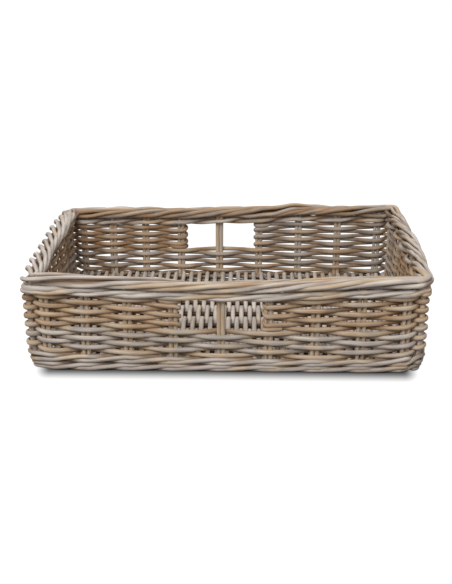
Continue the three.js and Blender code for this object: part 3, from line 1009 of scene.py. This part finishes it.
def ramp(tree, value, stops):
    """A colour that follows the value through the stops."""
    node = added(tree, "ShaderNodeValToRGB")
    steps = node.color_ramp.elements
    while len(steps) < len(stops):
        steps.new(0.5)
    for step, (position, colour) in zip(steps, stops):
        step.position = position
        step.color = (*colour, 1)
    link(tree, value, node.inputs["Fac"])
    return node.outputs["Color"]


def noise(tree, vector, stretch, detail):
    """Cloudy variation over the skin, stretched along the cane."""
    mapping = added(tree, "ShaderNodeMapping")
    mapping.inputs["Scale"].default_value = stretch
    link(tree, vector, mapping.inputs["Vector"])
    node = added(tree, "ShaderNodeTexNoise")
    node.inputs["Scale"].default_value = 1
    node.inputs["Detail"].default_value = detail
    node.inputs["Roughness"].default_value = NOISE_ROUGHNESS
    link(tree, mapping.outputs["Vector"], node.inputs["Vector"])
    return node.outputs["Fac"]


# Finish: grey-washed rattan skin
SKIN_INPUTS = (
    ("Skin", "NodeSocketVector"),
    ("Tone", "NodeSocketFloat"),
    ("Wear and shade", "NodeSocketFloat"),
    ("Brown", "NodeSocketFloat"),
    ("Bleach", "NodeSocketFloat"),
)
SKIN_OUTPUTS = (
    ("Colour", "NodeSocketColor"),
    ("Roughness", "NodeSocketFloat"),
    ("Height", "NodeSocketFloat"),
)


def growth_rings(tree, skin):
    """The pale band round each growth ring, and the fine dark line in its middle."""
    axes = added(tree, "ShaderNodeSeparateXYZ")
    link(tree, skin, axes.inputs[0])
    along = maths(tree, "DIVIDE", axes.outputs["Z"], RING_SPACING)
    phase = maths(tree, "FRACT", maths(tree, "ADD", along, 0.5))
    from_ring = maths(tree, "ABSOLUTE", maths(tree, "SUBTRACT", phase, 0.5))
    from_ring = maths(tree, "MULTIPLY", from_ring, RING_SPACING / RING_WIDTH)
    band = maths(tree, "SUBTRACT", 1.0, maths(tree, "MINIMUM", from_ring, 1.0))
    from_line = maths(tree, "MULTIPLY", from_ring, RING_LINE_FINENESS)
    line = maths(tree, "SUBTRACT", 1.0, maths(tree, "MINIMUM", from_line, 1.0))
    return band, line


def rattan_skin():
    """The look that all canes share: streaks, mottling, growth rings, wear, and brown hollows darkened
    further as painted shade.
    """
    group = bpy.data.node_groups.new("rattan_skin", "ShaderNodeTree")
    for name, kind in SKIN_INPUTS:
        group.interface.new_socket(name, in_out="INPUT", socket_type=kind)
    for name, kind in SKIN_OUTPUTS:
        group.interface.new_socket(name, in_out="OUTPUT", socket_type=kind)
    given = added(group, "NodeGroupInput")
    skin, tone, wear_and_shade = (given.outputs[name] for name in ("Skin", "Tone", "Wear and shade"))
    fibre = noise(group, skin, *FIBRE_NOISE)
    mottle = noise(group, skin, *MOTTLE_NOISE)
    drift = noise(group, skin, *DRIFT_NOISE)
    band, line = growth_rings(group, skin)

    # The cane's own colour, with streaks along its fibres
    sway = maths(group, "MULTIPLY", maths(group, "SUBTRACT", drift, 0.5), SHADE_SWAY)
    shade = maths(group, "SUBTRACT", maths(group, "ADD", tone, sway), given.outputs["Brown"])
    colour = ramp(group, shade, CANE_SHADES)
    colour = mixed(group, STREAK_SHARE, colour, ramp(group, fibre, STREAKS), "MULTIPLY")

    # The pale wash in patches, where the skin is bleached by wear and not in painted shade
    patches = maths(group, "MULTIPLY", maths(group, "SUBTRACT", mottle, WASH_START), WASH_CONTRAST)
    patches = maths(group, "SMOOTH_MIN", patches, 1.0, WASH_SOFTNESS)
    bleached = maths(group, "MULTIPLY", wear_and_shade, given.outputs["Bleach"])
    wash = maths(group, "MAXIMUM", maths(group, "MULTIPLY", patches, bleached), 0.0)
    colour = mixed(group, wash, colour, WASH_COLOUR)

    # Growth rings, and brown hollows darkened further as painted shade
    colour = mixed(group, maths(group, "MULTIPLY", band, RING_SHARE), colour, RING_COLOUR)
    colour = mixed(group, maths(group, "MULTIPLY", line, RING_LINE_SHARE), colour, RING_LINE_COLOUR)
    hollow_brown_and_shade = maths(group, "MULTIPLY", maths(group, "SUBTRACT", 1.0, wear_and_shade), HOLLOW_BROWN_AND_SHADE_SHARE)
    browned_and_shaded = mixed(group, 1.0, colour, HOLLOW_BROWN_AND_SHADE_COLOUR, "MULTIPLY")
    colour = mixed(group, hollow_brown_and_shade, colour, browned_and_shaded)

    rough = maths(group, "ADD", maths(group, "MULTIPLY", mottle, MOTTLE_ROUGHNESS), SMOOTHEST)
    fine = maths(group, "MULTIPLY", fibre, FIBRE_HEIGHT)
    coarse = maths(group, "SUBTRACT", maths(group, "MULTIPLY", mottle, MOTTLE_HEIGHT), line)
    result = added(group, "NodeGroupOutput")
    link(group, colour, result.inputs["Colour"])
    link(group, rough, result.inputs["Roughness"])
    link(group, maths(group, "ADD", fine, coarse), result.inputs["Height"])
    return group


def cane_finish(name, brown, bleach):
    """A finish of one part of the basket: how brown its canes are and how far they are bleached."""
    material = bpy.data.materials.new(name)
    material.use_nodes = True
    tree = material.node_tree
    shader = tree.nodes["Principled BSDF"]
    shader.inputs["Specular IOR Level"].default_value = SKIN_GLOSS
    skin = added(tree, "ShaderNodeGroup")
    skin.node_tree = rattan
    kept_on_mesh = (("skin", "Skin", "Vector"), ("tone", "Tone", "Fac"), ("wear_and_shade", "Wear and shade", "Fac"))
    for attribute, socket, output in kept_on_mesh:
        reader = added(tree, "ShaderNodeAttribute")
        reader.attribute_name = attribute
        link(tree, reader.outputs[output], skin.inputs[socket])
    skin.inputs["Brown"].default_value = brown
    skin.inputs["Bleach"].default_value = bleach
    link(tree, skin.outputs["Colour"], shader.inputs["Base Color"])
    link(tree, skin.outputs["Roughness"], shader.inputs["Roughness"])
    bump = added(tree, "ShaderNodeBump")
    bump.inputs["Strength"].default_value = BUMP_STRENGTH
    bump.inputs["Distance"].default_value = BUMP_DISTANCE
    link(tree, skin.outputs["Height"], bump.inputs["Height"])
    link(tree, bump.outputs["Normal"], shader.inputs["Normal"])
    return material


rattan = rattan_skin()
stake_finish = cane_finish("stake_cane", brown=0.0, bleach=0.2)
row_finish = cane_finish("weaver_cane", brown=0.0, bleach=0.27)
wale_finish = cane_finish("wale_cane", brown=0.02, bleach=0.2)
border_finish = cane_finish("border_cane", brown=0.02, bleach=0.5)
mat_finish = cane_finish("base_cane", brown=-0.03, bleach=0.55)

# Uprights
master_stick = plain_stick()
for wall in WALLS:
    sticks = []
    for here in (s for s in stations if s["wall"] == wall):
        in_hole = here["node"] == front_pairs[hole_pair]
        apart = STAKE_RADIUS * (FRONT_PAIR_APART if wall == "front" and not in_hole else 1)
        shade = HOLE_SHADE if in_hole else STAKE_SHADE
        if rng.random() < PALE_PAIRS:
            shade = PALE_SHADE
        for side in (-1, 1):
            plan = here["at"] + here["along"] * side * apart
            sticks.append(upright(plan, STAKE_RADIUS, toned(*shade)))
    seat(bundle(f"{wall}_stakes", sticks), stake_finish, numbered(f"{wall}_stake_pair"))
post_stations = [s for s in stations if not s["wall"]]
posts = [upright(here["at"], POST_RADIUS, toned(*POST_SHADE)) for here in post_stations]
seat(bundle("corner_posts", posts), stake_finish, [here["node"] for here in post_stations])

# Rows: tan near the foot and beside the hand holes, grey between
row_form = {"flat": ROW_FLATNESS, "edge_shade": ROW_EDGE_SHADE}
for k, node in enumerate(row_nodes):
    tone = ROW_SHADES[k % len(ROW_SHADES)]
    cane = run(ring_row(k), ROW_RADIUS, tone=tone, spread=ROW_SPREAD, **row_form)
    seat(lay(f"row_{k + 1}", [cane], wall_wear_and_shade), row_finish, [node])
back_hole = next(i for i, s in enumerate(stations) if s["node"] == f"back_stake_pair_{hole_pair + 1}")
return_ends = {"right": (hole_pair + 1, back_hole - 1), "left": (back_hole + 1, hole_pair - 1)}
for side, (first, last) in return_ends.items():
    bends = return_cane(first, last)
    form = {**row_form, "fade": RETURN_FADE[side]}
    cane = run(bends, ROW_RADIUS, tone=RETURN_SHADE, spread=RETURN_SPREAD, **form)
    rows = lay(f"{side}_return_rows", [cane], wall_wear_and_shade)
    seat(rows, row_finish, [f"{side}_return_weaver"])

# Wales
rim_heart = (rim_low + wale_top) / 2
rim_rise = (wale_top - rim_low) / 2 - RIM_WALE_RADIUS
rim = []
for k in range(WALE_CANES):
    rim.append(run(wale(k, rim_heart, rim_rise, RIM_WALE_RADIUS), RIM_WALE_RADIUS))
rim_wale = lay("rim_wale", rim, wall_wear_and_shade, sides=ROUND_SIDES)
seat(rim_wale, wale_finish, ["rim_wale_outer", "rim_wale_inner"])
foot_layer = foot_top / FOOT_LAYERS
foot_rise = foot_layer / 2 - FOOT_WALE_RADIUS + FOOT_PRESS
foot = []
for layer in range(FOOT_LAYERS):
    z = foot_layer * (layer + 0.5)
    for k in range(WALE_CANES):
        tone = toned(*FOOT_SHADE)
        foot.append(run(wale(k + layer, z, foot_rise, FOOT_WALE_RADIUS), FOOT_WALE_RADIUS, tone=tone))
foot_wale = lay("foot_wale", foot, foot_wear_and_shade, sides=ROUND_SIDES)
seat(foot_wale, wale_finish, foot_nodes + ["foot_wale_inner"])

# Border
border = lay("rolled_border", border_canes(), border_wear_and_shade, sides=ROUND_SIDES)
seat(border, border_finish, border_nodes)

# Base
# The base sticks are near black with full painted shade: a painted shadow in the gaps of the mat
base_sticks = []
for y in stick_places:
    for side in (-1, 1):
        line = y + side * base_stick_radius
        tone = toned(*BASE_STICK_PAINTED_SHADOW)
        start, end = (stick_low[0], line, stick_height), (stick_high[0], line, stick_height)
        base_sticks.append(copied_stick(start, end, base_stick_radius, tone, wear_and_shade=0.0))
seat(bundle("base_sticks", base_sticks), stake_finish, stick_nodes)
mat = lay("base_mat_canes", mat_canes(), mat_wear_and_shade, resolution=MAT_STEPS, sides=ROUND_SIDES)
seat(mat, mat_finish, ["base_mat"])
bpy.data.objects.remove(master_stick)


# Floor, light and camera
def seen_directly(tree):
    """One for what the camera sees, also in gloss and through glass, and nought for other light."""
    path = added(tree, "ShaderNodeLightPath")
    mirrored = maths(tree, "MAXIMUM", path.outputs["Is Glossy Ray"], path.outputs["Is Transmission Ray"])
    return maths(tree, "MAXIMUM", path.outputs["Is Camera Ray"], mirrored)


def glow_round_painted_shadow(tree):
    """How brightly the floor shines: not at all under the basket, fully a little away from it. The band
    between is a painted contact shadow.
    """
    place = added(tree, "ShaderNodeTexCoord")
    axes = added(tree, "ShaderNodeSeparateXYZ")
    link(tree, place.outputs["Object"], axes.inputs[0])
    squares = []
    for axis, edge, weight in (("X", HALF_X - PAINTED_SHADOW_SIDE_INSET, PAINTED_SHADOW_SIDE_WEIGHT), ("Y", HALF_Y, 1.0)):
        past = maths(tree, "SUBTRACT", maths(tree, "ABSOLUTE", axes.outputs[axis]), float(edge))
        past = maths(tree, "MULTIPLY", maths(tree, "MAXIMUM", past, 0.0), weight)
        squares.append(maths(tree, "POWER", past, 2.0))
    gap = maths(tree, "SQRT", maths(tree, "ADD", *squares))
    glow = added(tree, "ShaderNodeMapRange")
    glow.interpolation_type = "SMOOTHSTEP"
    glow.inputs["From Min"].default_value = PAINTED_SHADOW_GLOW_START
    glow.inputs["From Max"].default_value = PAINTED_SHADOW_GLOW_FULL
    glow.inputs["To Min"].default_value = 0
    glow.inputs["To Max"].default_value = FLOOR_GLOW
    link(tree, gap, glow.inputs["Value"])
    return glow.outputs["Result"]


def plain_floor():
    """A grey floor that takes the basket's shadow, and shines white where it is seen, with a painted
    shadow round the basket where it doesn't shine.
    """
    deselect()
    bpy.ops.mesh.primitive_plane_add(size=FLOOR_SIZE, location=(0, 0, 0))
    floor = bpy.context.view_layer.objects.active
    floor.name = "floor"
    material = bpy.data.materials.new("pale_floor")
    material.use_nodes = True
    tree = material.node_tree
    shader = tree.nodes["Principled BSDF"]
    shader.inputs["Base Color"].default_value = (*FLOOR_COLOUR, 1)
    shader.inputs["Roughness"].default_value = FLOOR_ROUGHNESS
    shader.inputs["Specular IOR Level"].default_value = 0
    strength = maths(tree, "MULTIPLY", seen_directly(tree), glow_round_painted_shadow(tree))
    glow = added(tree, "ShaderNodeEmission")
    link(tree, strength, glow.inputs["Strength"])
    both = added(tree, "ShaderNodeAddShader")
    link(tree, shader.outputs["BSDF"], both.inputs[0])
    link(tree, glow.outputs["Emission"], both.inputs[1])
    link(tree, both.outputs["Shader"], tree.nodes["Material Output"].inputs["Surface"])
    floor.data.materials.append(material)


def soft_light():
    """A pale sky, white where it is seen, and two large lamps."""
    world = bpy.data.worlds.new("studio")
    world.use_nodes = True
    bpy.context.scene.world = world
    tree = world.node_tree
    sky = tree.nodes["Background"]
    sky.inputs["Color"].default_value = (1, 1, 1, 1)
    extra = maths(tree, "MULTIPLY", seen_directly(tree), 1 - SKY_LIGHT)
    link(tree, maths(tree, "ADD", extra, SKY_LIGHT), sky.inputs["Strength"])
    for name, place, size, power in LAMPS:
        deselect()
        bpy.ops.object.light_add(type="AREA", location=place)
        lamp = bpy.context.view_layer.objects.active
        lamp.name = name
        lamp.data.size = size
        lamp.data.energy = power
        lamp.rotation_euler = (LAMP_TARGET - Vector(place)).to_track_quat("-Z", "Y").to_euler()


def view_camera():
    """The photograph's view: from well above the rim and almost square to the front."""
    deselect()
    bpy.ops.object.camera_add(location=CAMERA_PLACE)
    camera = bpy.context.view_layer.objects.active
    camera.name = "camera"
    camera.rotation_euler = (math.radians(90 - CAMERA_DIP), 0, math.radians(CAMERA_TURN))
    camera.data.sensor_width = CAMERA_SENSOR
    camera.data.lens = CAMERA_LENS
    camera.data.clip_start = CAMERA_NEAR
    camera.data.clip_end = CAMERA_FAR
    bpy.context.scene.camera = camera


plain_floor()
soft_light()
view_camera()
bpy.context.scene.view_settings.view_transform = "Standard"
